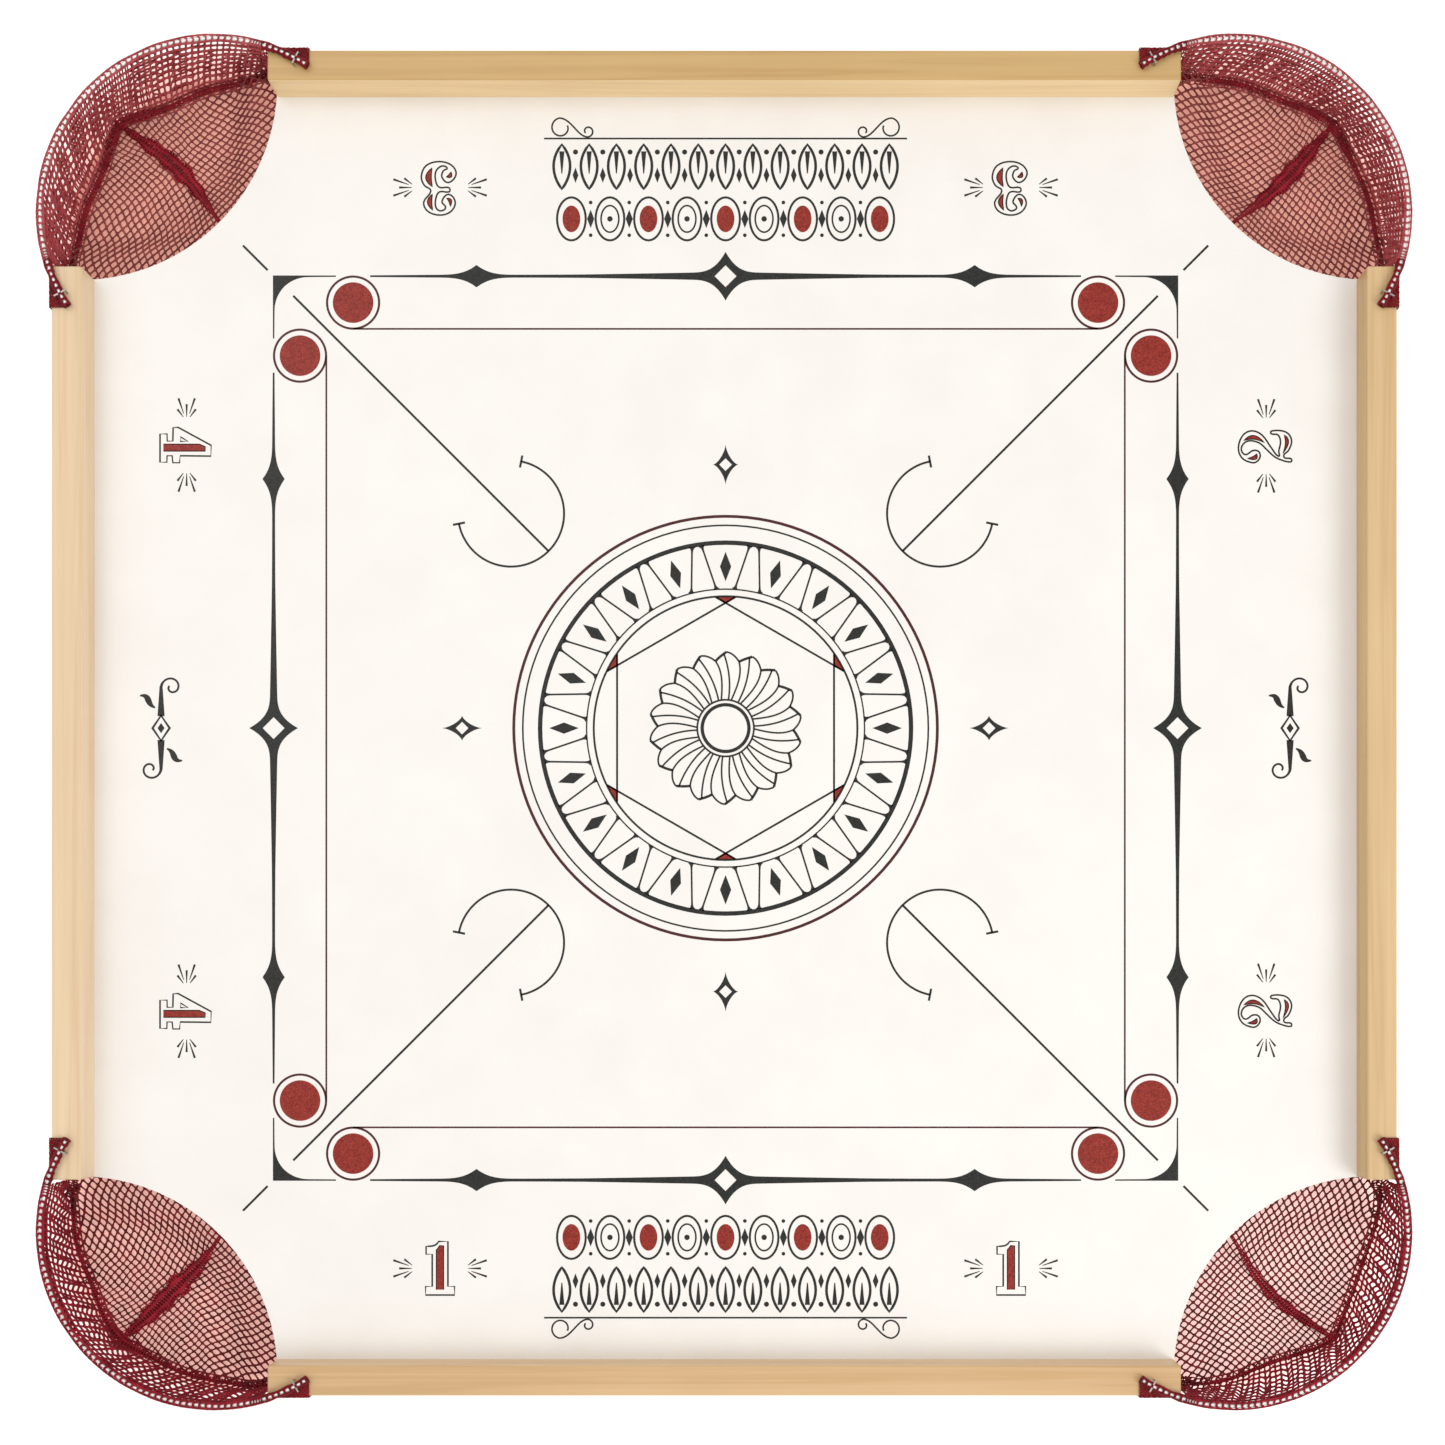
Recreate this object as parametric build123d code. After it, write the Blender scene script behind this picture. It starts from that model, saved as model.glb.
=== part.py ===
"""A carrom board: a white printed panel held in the grooves of four wooden rails, with a large round
cut-out at each corner and a net pocket that hangs there from a wire hoop.

Millimetres. The origin is the centre of the footprint on the table, +Z is up, +X is to the right of
the player who sits at the front, and +Y is away from that player.
"""

import os
from math import cos, radians, sin, sqrt

from build123d import *

# Playing field and rails
PLAY_SIDE = 740.0  # clear playing square between the rails
RAIL_WIDTH = 17.5
RAIL_HEIGHT = 38.0
RAIL_LENGTH = 526.0
RAIL_EDGE_RADIUS = 1.5  # roundover along the four long edges
RAIL_END_EASE = 0.6  # chamfer round the two end faces
PANEL_THICKNESS = 6.0
WALL_ABOVE_PANEL = 19.0  # height of the rail over the playing surface
GROOVE_DEPTH = 8.5
TONGUE_DEPTH = 8.0  # how far the panel reaches into the groove

# Corner cut-outs, each centred where the two rail centre lines cross
CUTOUT_RADIUS = 116.0

# Wire hoops
HOOP_WIRE = 2.5
HOOP_RADIUS = 100.0
HOOP_INSET = 94.8  # from each outer edge of the board to the hoop's centre
HOOP_OVERRUN = 31.4  # degrees that each end runs back past the widest point

# Nets
CLOTH = 0.8  # one folded thickness of netting where it is clamped
NET_WALL = 1.6  # the netting with its folds, as a plain shell
NET_FLOOR = 1.0  # height of the slack netting over the table
NET_SLOPE_START = 86.0  # radius from the cut-out's centre where the netting starts to rise
FLANGE_WIDTH = 9.0  # band of netting clamped under the panel
TAB_REACH = 24.0  # how far each tab of netting runs along its rail
TAB_DROP = 17.0  # how far each tab comes down the rail's outer face
TAB_MARGIN = 3.0  # netting inside the hoop's end, on the rail's top
CLEARANCE = 0.3  # between the slack netting and the wood
JOIN = 1.0  # how far two stretches of one net run into each other

# Fasteners
STAPLE_CROWN = 7.5
STAPLE_WIRE = 0.9
STAPLE_FLAT = 0.6
STAPLE_SHOULDER = 0.27  # radius of the bends between crown and legs
STAPLE_SETBACK = 3.5  # degrees from the hoop's end to the staple over it
RIM_STAPLE_DEPTH = 6.0
NET_STAPLE_DEPTH = 4.0
NET_STAPLE_COUNT = 7
NET_STAPLE_SPAN = (13.0, 77.0)  # degrees round the cut-out, from rail to rail
BRAD_SHANK = 1.5
BRAD_HEAD = 3.0
BRAD_HEAD_DEPTH = 1.0
BRAD_LENGTH = 26.0
BRAD_PLACES = (-230.0, -115.0, 0.0, 115.0, 230.0)

# Worked out from the sizes above
OUTER_HALF = PLAY_SIDE / 2 + RAIL_WIDTH
RAIL_LINE = OUTER_HALF - RAIL_WIDTH / 2  # rail centre line
PANEL_HALF = PLAY_SIDE / 2 + TONGUE_DEPTH
PANEL_TOP = RAIL_HEIGHT - WALL_ABOVE_PANEL
PANEL_BOTTOM = PANEL_TOP - PANEL_THICKNESS
HOOP_CENTRE = OUTER_HALF - HOOP_INSET
HOOP_HEIGHT = RAIL_HEIGHT + CLOTH + HOOP_WIRE / 2
RAIL_END = RAIL_LENGTH / 2
FLANGE_BOTTOM = PANEL_BOTTOM - NET_WALL

SIDES = {"back": 0, "left": 90, "front": 180, "right": 270}
CORNERS = {"back_right": 0, "back_left": 90, "front_left": 180, "front_right": 270}


def turned(shape, degrees):
    """The same shape at another side or corner of the board."""
    return Rot(0, 0, degrees) * shape


def upright(radius, low, high, x=0.0, y=0.0):
    """A vertical cylinder between two heights."""
    return Pos(x, y, low) * extrude(Circle(radius), high - low)


def slab(x_range, y_range, z_range):
    """An axis-aligned box between three pairs of limits."""
    lows, highs = zip(x_range, y_range, z_range)
    sizes = [high - low for low, high in zip(lows, highs)]
    return Pos(*lows) * Box(*sizes, align=Align.MIN)


def staple(depth, gap):
    """A staple with its crown along X, its legs pointing down, and gap free under the crown to Z = 0."""
    crown = slab(
        (-STAPLE_CROWN / 2, STAPLE_CROWN / 2),
        (-STAPLE_WIRE / 2, STAPLE_WIRE / 2),
        (gap, gap + STAPLE_FLAT),
    )
    leg = slab(
        (STAPLE_CROWN / 2 - STAPLE_FLAT, STAPLE_CROWN / 2),
        (-STAPLE_WIRE / 2, STAPLE_WIRE / 2),
        (-depth, gap + STAPLE_FLAT),
    )
    body = crown + leg + mirror(leg, about=Plane.YZ)
    shoulders = body.edges().filter_by(Axis.Y).group_by(Axis.Z)[-1]
    return fillet(shoulders, STAPLE_SHOULDER)


# Rails

def plain_rail():
    """The back rail before its nail holes: a rounded bar with a groove for the panel."""
    profile = Pos(RAIL_LINE, RAIL_HEIGHT / 2) * RectangleRounded(RAIL_WIDTH, RAIL_HEIGHT, RAIL_EDGE_RADIUS)
    bar = Pos(-RAIL_END, 0, 0) * extrude(Plane.YZ * profile, RAIL_LENGTH)
    ends = bar.faces().sort_by(Axis.X)
    bar = chamfer(ends[0].edges() + ends[-1].edges(), RAIL_END_EASE)
    groove = slab(
        (-RAIL_LENGTH, RAIL_LENGTH),
        (0, PLAY_SIDE / 2 + GROOVE_DEPTH),
        (PANEL_BOTTOM, PANEL_TOP),
    )
    return bar - groove


def brads():
    """The nails that pin the back rail to the panel's tongue, driven up from below and set flush."""
    line = PLAY_SIDE / 2 + TONGUE_DEPTH / 2
    nails = []
    for place in BRAD_PLACES:
        head = upright(BRAD_HEAD / 2, 0, BRAD_HEAD_DEPTH, place, line)
        shank = upright(BRAD_SHANK / 2, 0, BRAD_LENGTH, place, line)
        nails.append(head + shank)
    return nails


# Panel

def plain_panel():
    """The playing panel with its four round corner cut-outs, before its fastener holes."""
    outline = Rectangle(2 * PANEL_HALF, 2 * PANEL_HALF)
    for degrees in CORNERS.values():
        outline -= turned(Pos(RAIL_LINE, RAIL_LINE) * Circle(CUTOUT_RADIUS), degrees)
    return Pos(0, 0, PANEL_BOTTOM) * extrude(outline, PANEL_THICKNESS)


# One corner pocket, at the back right

def at_hoop(degrees, offset=0.0):
    """A point on the hoop's circle, or offset outwards from it, by its angle from +X."""
    radius = HOOP_RADIUS + offset
    return HOOP_CENTRE + radius * cos(radians(degrees)), HOOP_CENTRE + radius * sin(radians(degrees))


def hoop():
    """The wire arc that holds the net's rim open, lying on the tops of two rails."""
    start, end = -HOOP_OVERRUN, 90 + HOOP_OVERRUN
    path = CenterArc((HOOP_CENTRE, HOOP_CENTRE, HOOP_HEIGHT), HOOP_RADIUS, start, end - start)
    section = Plane(origin=path @ 0, z_dir=path % 0) * Circle(HOOP_WIRE / 2)
    return sweep(section, path)


def net_dish():
    """The slack netting: flat near the table, rising to a flange clamped under the cut-out's rim."""
    outside = CUTOUT_RADIUS + FLANGE_WIDTH
    profile = Polyline(
        (0, NET_FLOOR),
        (NET_SLOPE_START, NET_FLOOR),
        (CUTOUT_RADIUS - JOIN, FLANGE_BOTTOM),
        (outside, FLANGE_BOTTOM),
        (outside, PANEL_BOTTOM),
        (CUTOUT_RADIUS - 2 * JOIN, PANEL_BOTTOM),
        (NET_SLOPE_START - JOIN, NET_FLOOR + NET_WALL),
        (0, NET_FLOOR + NET_WALL),
        close=True,
    )
    dish = revolve(Plane.XZ * make_face(profile), Axis.Z)
    dish = Pos(RAIL_LINE, RAIL_LINE, 0) * dish
    return dish & upright(HOOP_RADIUS + NET_WALL / 2, 0, RAIL_HEIGHT, HOOP_CENTRE, HOOP_CENTRE)


def net_wall():
    """The netting that hangs from the hoop, from rail end to rail end."""
    inside = HOOP_RADIUS - NET_WALL / 2
    top = HOOP_HEIGHT - HOOP_WIRE / 2
    ring = upright(inside + NET_WALL, NET_FLOOR, top, HOOP_CENTRE, HOOP_CENTRE)
    ring -= upright(inside, 0, RAIL_HEIGHT + HOOP_WIRE, HOOP_CENTRE, HOOP_CENTRE)
    past_rails = (RAIL_END + CLEARANCE, 2 * RAIL_END)
    window = slab(past_rails, past_rails, (0, top))
    return ring & window


def tab_on_back_rail():
    """The netting's end, folded over the rail: a leaf on its top, one on its face, and the fold
    past the rail's end that leads out to the hoop."""
    tip_x, tip_y = at_hoop(90 + HOOP_OVERRUN, -TAB_MARGIN)
    far = RAIL_END - TAB_REACH
    face_line = OUTER_HALF + CLOTH
    leaf = Polyline(
        (RAIL_END + JOIN, face_line),
        (far, face_line),
        (far, tip_y),
        (tip_x, tip_y),
        (RAIL_END + JOIN, OUTER_HALF - 2 * JOIN),
        close=True,
    )
    top = Pos(0, 0, RAIL_HEIGHT) * extrude(make_face(leaf), CLOTH)
    heights = (RAIL_HEIGHT - TAB_DROP, RAIL_HEIGHT + CLOTH)
    side = slab((far, RAIL_END + JOIN), (OUTER_HALF, face_line), heights)
    hoop_line = HOOP_CENTRE + sqrt(HOOP_RADIUS**2 - (HOOP_CENTRE - RAIL_END) ** 2)
    fold = slab((RAIL_END, RAIL_END + 2 * JOIN), (OUTER_HALF, hoop_line), heights)
    return top + side + fold


def swapped(shape):
    """The shape mirrored across the corner's diagonal, from the back rail to the right rail."""
    return mirror(shape, about=Plane(origin=(0, 0, 0), z_dir=(1, -1, 0)))


def plain_net():
    """The whole net of one pocket before its staple holes."""
    keep_out = slab(
        (-RAIL_END, RAIL_END + CLEARANCE),
        (PLAY_SIDE / 2 - CLEARANCE, OUTER_HALF + CLEARANCE),
        (0, RAIL_HEIGHT - TAB_DROP - JOIN),
    )
    bag = net_dish() - keep_out - swapped(keep_out)
    return bag + net_wall() + tab_on_back_rail() + swapped(tab_on_back_rail())


def rim_staples():
    """Two staples over the hoop's ends, and two that pin the tabs to the rails' outer faces."""
    angle = 90 + HOOP_OVERRUN - STAPLE_SETBACK
    x, y = at_hoop(angle)
    over_wire = Pos(x, y, RAIL_HEIGHT) * Rot(0, 0, angle) * staple(RIM_STAPLE_DEPTH, CLOTH + HOOP_WIRE)
    on_face = staple(RIM_STAPLE_DEPTH, CLOTH)
    face_x = RAIL_END - TAB_REACH / 2
    on_face = Pos(face_x, OUTER_HALF, RAIL_HEIGHT - TAB_DROP / 2) * Rot(-90, 0, 0) * on_face
    return [over_wire, on_face, swapped(over_wire), swapped(on_face)]


def net_staples():
    """The staples that clamp the netting's flange to the underside of the panel."""
    radius = CUTOUT_RADIUS + FLANGE_WIDTH / 2
    first, last = NET_STAPLE_SPAN
    step = (last - first) / (NET_STAPLE_COUNT - 1)
    placed = []
    for index in range(NET_STAPLE_COUNT):
        angle = 180 + first + index * step
        x = RAIL_LINE + radius * cos(radians(angle))
        y = RAIL_LINE + radius * sin(radians(angle))
        upside_down = Rot(180, 0, 0) * staple(NET_STAPLE_DEPTH, NET_WALL)
        placed.append(Pos(x, y, PANEL_BOTTOM) * Rot(0, 0, angle + 90) * upside_down)
    return placed


def drilled(shape, fasteners):
    """The shape with a close hole for each fastener."""
    for fastener in fasteners:
        shape -= fastener
    return shape


def write(name, solids):
    """Writes one node's solids to parts/NAME.step."""
    shape = solids[0] if len(solids) == 1 else Compound(children=solids)
    export_step(shape, f"parts/{name}.step")


def main():
    os.makedirs("parts", exist_ok=True)
    nails = brads()
    clamps = net_staples()
    over_back, face_back, over_right, face_right = rim_staples()
    rim = [over_back, face_back, over_right, face_right]
    other_end = [turned(over_right, 90), turned(face_right, 90)]

    net = drilled(plain_net(), clamps + rim)
    rail = drilled(plain_rail(), nails + [over_back, face_back] + other_end)
    panel = plain_panel()
    for degrees in CORNERS.values():
        panel = drilled(panel, [turned(clamp, degrees) for clamp in clamps])
    for degrees in SIDES.values():
        panel = drilled(panel, [turned(nail, degrees) for nail in nails])

    write("playing_panel", [panel])
    for side, degrees in SIDES.items():
        write(f"rail_{side}", [turned(rail, degrees)])
        write(f"rail_brads_{side}", [turned(nail, degrees) for nail in nails])
    for corner, degrees in CORNERS.items():
        write(f"pocket_net_{corner}", [turned(net, degrees)])
        write(f"hoop_wire_{corner}", [turned(hoop(), degrees)])
        write(f"net_staples_{corner}", [turned(clamp, degrees) for clamp in clamps])
        write(f"rim_staples_{corner}", [turned(staple_piece, degrees) for staple_piece in rim])


if __name__ == "__main__":
    main()
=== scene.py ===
import cmath
import math

import bpy
import numpy as np
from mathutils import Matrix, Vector


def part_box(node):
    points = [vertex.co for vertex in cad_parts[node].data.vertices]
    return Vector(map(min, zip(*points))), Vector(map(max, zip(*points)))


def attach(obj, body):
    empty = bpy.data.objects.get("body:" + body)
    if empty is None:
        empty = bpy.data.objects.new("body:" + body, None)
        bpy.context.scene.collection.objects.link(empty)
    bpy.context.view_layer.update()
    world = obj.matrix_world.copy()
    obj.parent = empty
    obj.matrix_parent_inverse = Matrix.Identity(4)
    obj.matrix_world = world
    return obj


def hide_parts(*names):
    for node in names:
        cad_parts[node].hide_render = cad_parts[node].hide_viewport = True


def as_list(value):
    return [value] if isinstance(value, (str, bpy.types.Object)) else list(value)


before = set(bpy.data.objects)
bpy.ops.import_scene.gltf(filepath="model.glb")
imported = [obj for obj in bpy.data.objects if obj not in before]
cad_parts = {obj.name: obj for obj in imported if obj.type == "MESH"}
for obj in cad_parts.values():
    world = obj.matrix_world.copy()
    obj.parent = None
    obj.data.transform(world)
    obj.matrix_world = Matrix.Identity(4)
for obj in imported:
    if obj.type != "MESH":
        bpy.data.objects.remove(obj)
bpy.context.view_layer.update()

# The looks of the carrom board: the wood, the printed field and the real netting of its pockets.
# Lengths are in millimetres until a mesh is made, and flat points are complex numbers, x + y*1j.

MM = 0.001
CORNERS = ("back_right", "back_left", "front_left", "front_right")
SIDES = ("back", "left", "front", "right")
QUARTERS = (0, 90, 180, 270)

# Places read from the frame
PANEL_LOW, PANEL_HIGH = (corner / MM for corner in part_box("playing_panel"))
RAIL_LOW, RAIL_HIGH = (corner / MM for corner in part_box("rail_back"))
HOOP_LOW, HOOP_HIGH = (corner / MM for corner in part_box("hoop_wire_back_right"))
PANEL_TOP = PANEL_HIGH.z
PANEL_BOTTOM = PANEL_LOW.z
RAIL_TOP = RAIL_HIGH.z
RAIL_END = RAIL_HIGH.x
OUTER_HALF = RAIL_HIGH.y
PLAY_HALF = RAIL_LOW.y
RAIL_LINE = (OUTER_HALF + PLAY_HALF) / 2
WIRE = HOOP_HIGH.z - HOOP_LOW.z
HOOP_Z = HOOP_LOW.z + WIRE / 2

# Round shapes that the frame's boxes don't give
CUTOUT_RADIUS = 116.0
HOOP_RADIUS = 100.0
HOOP_OVERRUN = 31.4
HOOP_CENTRE = HOOP_HIGH.x - WIRE / 2 - HOOP_RADIUS

# The camera, straight above a point a little right of and in front of the board's centre
CAMERA_AT = 41.0 - 165.0j
CAMERA_RISE = 1030.0
VIEW_WIDTH = 847.3
VIEW_MIDDLE = -1.8 + 3.3j

# Printing, with places measured from the board's centre
INK_LOW = 0.005  # heights over the panel
INK_HIGH = 0.05
OUTER_LINE = 265.0
SIDE_SWELLING = 146.0  # along the outer line
BASE_LINE = 234.1
BASE_END = 218.4
BASE_MIDDLE = 249.5
BASE_RING = 15.9
BASE_DOT = 11.9
STAR_PLACE = 154.5
FLOURISH_PLACE = -331.0
THIN = 1.0  # widths of line
FINE = 1.3
BOLD = 1.6
ARC_STEP = 3.0  # degrees
SPIRAL_STEP = 12.0


# Meshes


def mesh_object(name, points, faces, material, smooth=False):
    """A mesh object from points in millimetres."""
    mesh = bpy.data.meshes.new(name)
    mesh.from_pydata([tuple(c * MM for c in point) for point in points], [], faces)
    mesh.materials.append(material)
    mesh.polygons.foreach_set("use_smooth", [smooth] * len(mesh.polygons))
    mesh.update()
    made = bpy.data.objects.new(name, mesh)
    bpy.context.scene.collection.objects.link(made)
    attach(made, "root")
    return made


# Flat drawing


def arc(centre, radius, start, end, step=ARC_STEP):
    """Points along an arc, both ends included."""
    count = max(2, math.ceil(abs(end - start) / step))
    angles = [start + (end - start) * index / count for index in range(count + 1)]
    return [centre + cmath.rect(radius, math.radians(angle)) for angle in angles]


def circle(centre, radius, step=ARC_STEP):
    return arc(centre, radius, 0, 360, step)[:-1]


def curve(*controls, steps=14):
    """A Bezier curve through two ends with any number of control points between."""
    degree = len(controls) - 1
    points = []
    for index in range(steps + 1):
        t = index / steps
        weights = [math.comb(degree, k) * t**k * (1 - t) ** (degree - k) for k in range(degree + 1)]
        points.append(sum(weight * control for weight, control in zip(weights, controls)))
    return points


def looped(points, steps=4):
    """A closed smooth curve through a few points."""
    count = len(points)
    headings = []
    for index in range(count):
        chord = points[(index + 1) % count] - points[index - 1]
        headings.append(chord / abs(chord))
    path = []
    for index, start in enumerate(points):
        end = points[(index + 1) % count]
        reach = abs(end - start) / 3
        leaving, arriving = headings[index], headings[(index + 1) % count]
        path += curve(start, start + reach * leaving, end - reach * arriving, end, steps=steps)[:-1]
    return path


def crescent(start, hollow, end, bulge):
    """The shape between two bows that share their ends."""
    return curve(start, hollow, end, steps=8)[:-1] + curve(end, bulge, start, steps=8)[:-1]


def lozenge(half_width, half_height, centre=0):
    return [centre + half_width, centre + half_height * 1j, centre - half_width, centre - half_height * 1j]


def spiral(centre, start_radius, end_radius, start, end):
    """A spiral whose radius changes evenly with its angle."""
    count = math.ceil(abs(end - start) / SPIRAL_STEP)
    points = []
    for index in range(count + 1):
        t = index / count
        radius = start_radius + (end_radius - start_radius) * t
        points.append(centre + cmath.rect(radius, math.radians(start + (end - start) * t)))
    return points


def polar(radius, degrees):
    """A point by its distance from the centre and its angle clockwise from the top."""
    return cmath.rect(radius, math.radians(90 - degrees))


def sides_of(path, widths, closed=False):
    """The two outlines of a stroke along a path, with one width or a width for each point."""
    if not hasattr(widths, "__len__"):
        widths = [widths] * len(path)
    left, right = [], []
    last = len(path) - 1
    for index, (point, width) in enumerate(zip(path, widths)):
        before = path[index - 1] if index or closed else point
        after = path[(index + 1) % len(path)] if index < last or closed else point
        along = after - before
        across = 1j * along / abs(along) * width / 2
        left.append(point + across)
        right.append(point - across)
    return left, right


def area_of(outline):
    """The signed area of an outline, positive when it runs anticlockwise."""
    pairs = zip(outline, outline[1:] + outline[:1])
    return sum((a.conjugate() * b).imag for a, b in pairs) / 2


def band_area(left, right):
    """Positive when a band's left outline lies to the left of its direction of travel."""
    total = 0.0
    for index in range(len(left) - 1):
        along = left[index + 1] + right[index + 1] - left[index] - right[index]
        total += (along.conjugate() * (left[index] - right[index])).imag
    return total


class Ink:
    """Flat shapes of one ink, each a thin closed slab lying on the panel."""

    def __init__(self, name, material):
        self.name = name
        self.material = material
        self.points = []
        self.faces = []
        self.at()

    def at(self, degrees=0, shift=0):
        """Moves what is drawn next by the shift, then turns it about the board's centre."""
        self.shift = shift
        self.spin = cmath.rect(1, math.radians(degrees))

    def _levels(self, outline):
        """Adds an outline at the ink's foot and at its top."""
        first = len(self.points)
        placed = [(point + self.shift) * self.spin for point in outline]
        for height in (INK_LOW, INK_HIGH):
            self.points += [(point.real, point.imag, PANEL_TOP + height) for point in placed]
        return first, len(outline)

    def fill(self, outline):
        """A shape with no hole."""
        if area_of(outline) < 0:
            outline = outline[::-1]
        low, count = self._levels(outline)
        top = low + count
        self.faces.append([top + index for index in range(count)])
        self.faces.append([low + index for index in reversed(range(count))])
        for index in range(count):
            after = (index + 1) % count
            self.faces.append([low + index, low + after, top + after, top + index])

    def band(self, left, right, closed=False):
        """The strip between two outlines with the same number of points."""
        a, count = self._levels(left)
        b, _ = self._levels(right)
        made = []
        for index in range(count if closed else count - 1):
            after = (index + 1) % count
            made.append([a + count + after, a + count + index, b + count + index, b + count + after])
            made.append([a + index, a + after, b + after, b + index])
            made.append([a + index, a + count + index, a + count + after, a + after])
            made.append([b + after, b + count + after, b + count + index, b + index])
        if not closed:
            end = count - 1
            made.append([a, b, b + count, a + count])
            made.append([a + end, a + count + end, b + count + end, b + end])
        self.faces += [face[::-1] for face in made] if band_area(left, right) < 0 else made

    def stroke(self, path, widths=THIN, closed=False):
        self.band(*sides_of(path, widths, closed), closed=closed)

    def outlined(self, outline, width=THIN):
        """The outline of a shape as a thin line."""
        self.stroke(outline, width, closed=True)

    def ring(self, centre, radius, width):
        self.outlined(circle(centre, radius), width)

    def make(self):
        mesh_object(self.name, self.points, self.faces, self.material)


# Border, base lines and arrows


def spike(distance, height, length, power):
    """The half-height of a concave-sided point, at a distance from its middle."""
    return height * max(0.0, 1 - abs(distance) / length) ** power


def border_half(x):
    """Half the thickness of the outer line at a distance from its middle."""
    middle = spike(x, 11.8, 21.0, 3.2) + spike(x, 2.0, 128.0, 1.3)
    beside = x - SIDE_SWELLING
    return THIN / 2 + middle + spike(beside, 5.6, 24.0, 3.4) + spike(beside, 0.5, 62.0, 1.0)


def border_side(border):
    """One side of the outer line, which splits round a white diamond in its middle."""
    window, window_steps, steps = 6.4, 8, 90
    reach = BASE_END - 10.0 - window
    near = [window * index / window_steps for index in range(window_steps + 1)]
    far = [window + reach * (index / steps) ** 1.25 for index in range(steps + 1)]
    for sign in (-1, 1):
        for side in (-1, 1):
            edge = [complex(sign * x, OUTER_LINE + side * border_half(x)) for x in near]
            hole = [complex(sign * x, OUTER_LINE + side * (window - x)) for x in near]
            border.band(edge, hole)
        upper = [complex(sign * x, OUTER_LINE + border_half(x)) for x in far]
        lower = [complex(sign * x, OUTER_LINE - border_half(x)) for x in far]
        border.band(upper, lower)


def corner_ornament(border):
    """The black corner with a concave inner edge and two tapering legs."""
    reach, bend, lip, steps = 36.5, 20.0, 0.4, 24
    legs = []
    for index in range(steps + 1):
        x = reach * (1 - index / steps) ** 1.4
        hollow = bend - math.sqrt(bend**2 - (bend - x) ** 2) if x < bend else 0.0
        y = lip + 0.3 * (1 - x / reach) + hollow
        if x >= y:
            legs.append((x, y))
    corner = complex(OUTER_LINE, OUTER_LINE)
    outline = [corner + complex(lip, lip), corner + complex(-reach, lip)]
    outline += [corner - complex(x, y) for x, y in legs]
    outline += [corner - complex(y, x) for x, y in reversed(legs)]
    outline.append(corner + complex(lip, -reach))
    border.fill(outline)


def base_lines(lines, dots):
    """The inner line of one side and its two base circles."""
    lines.stroke([complex(-BASE_END, BASE_LINE), complex(BASE_END, BASE_LINE)], THIN)
    for sign in (-1, 1):
        centre = complex(sign * BASE_END, BASE_MIDDLE)
        lines.ring(centre, BASE_RING - FINE / 2, FINE)
        dots.fill(circle(centre, BASE_DOT))


def arrow(arrows):
    """One diagonal line with its arc and the short tick outside it."""
    diagonal = 1 + 1j
    middle, radius, opening, bar = 125.8 * diagonal, 31.1, 56.0, 3.6
    arrows.stroke([253.5 * diagonal, 103.8 * diagonal], FINE)
    arrows.stroke([268.5 * diagonal, 283.0 * diagonal], FINE)
    bow = arc(middle, radius, 45 + opening, 45 + 360 - opening)
    arrows.stroke(bow, FINE * 0.95)
    for end in (bow[0], bow[-1]):
        out = (end - middle) / radius
        arrows.stroke([end - bar * out, end + bar * out], FINE)


def small_star(stars):
    """A four-pointed star with a hollow diamond, longest along its axis of the board."""
    half_width, half_length, hole, hollow, steps = 7.3, 11.6, 3.7, 1.42, 10
    outer, inner = [], []
    for quarter in range(4):
        for index in range(steps):
            t = index / steps
            edge = 1j**quarter * complex((1 - t) ** hollow, t**hollow)
            outer.append(complex(edge.real * half_width, edge.imag * half_length))
            inner.append(1j**quarter * hole * complex(1 - t, t))
    stars.band(outer, inner, closed=True)


# Rosette


def rosette_rings(black, maroon):
    maroon.ring(0, 124.2, 1.7)
    rings = ((118.9, THIN), (108.75, 2.6), (81.5, 0.85), (77.3, 1.2), (16.6, FINE * 0.85), (13.7, 2.0))
    for radius, width in rings:
        black.ring(0, radius, width)


def rosette_cells(black):
    """Tall cells between two rings, each with a black diamond and walls that flare at both ends."""
    count, outer, inner, steps = 20, 107.8, 81.6, 24
    diamond = [polar(103.4, 0), polar(94.8, -2.0), polar(86.1, 0), polar(94.8, 2.0)]
    widths = [FINE * 0.8 + 3.0 * abs(2 * step / steps - 1) ** 14 for step in range(steps + 1)]
    for index in range(count):
        black.at(index * 360 / count)
        black.fill(diamond)
        for sign in (-1, 1):
            top, foot = polar(outer, sign * 7.5), polar(inner, sign * 3.8)
            black.stroke([foot + (top - foot) * step / steps for step in range(steps + 1)], widths)


def hexagon(black, red):
    """A hexagon whose sides run on to the inner ring, with a red wedge at each point."""
    apothem, ring = 63.6, 77.0
    half = math.sqrt(ring**2 - apothem**2)
    span = math.degrees(5.7 / ring)
    wedge = [polar(72.9, 0)] + arc(0, ring, 90 + span, 90 - span, 2.0)
    for degrees in range(0, 360, 60):
        black.at(degrees + 30)
        black.stroke([complex(-half, apothem), complex(half, apothem)], FINE * 0.9)
        red.at(degrees)
        red.fill(wedge)


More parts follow.
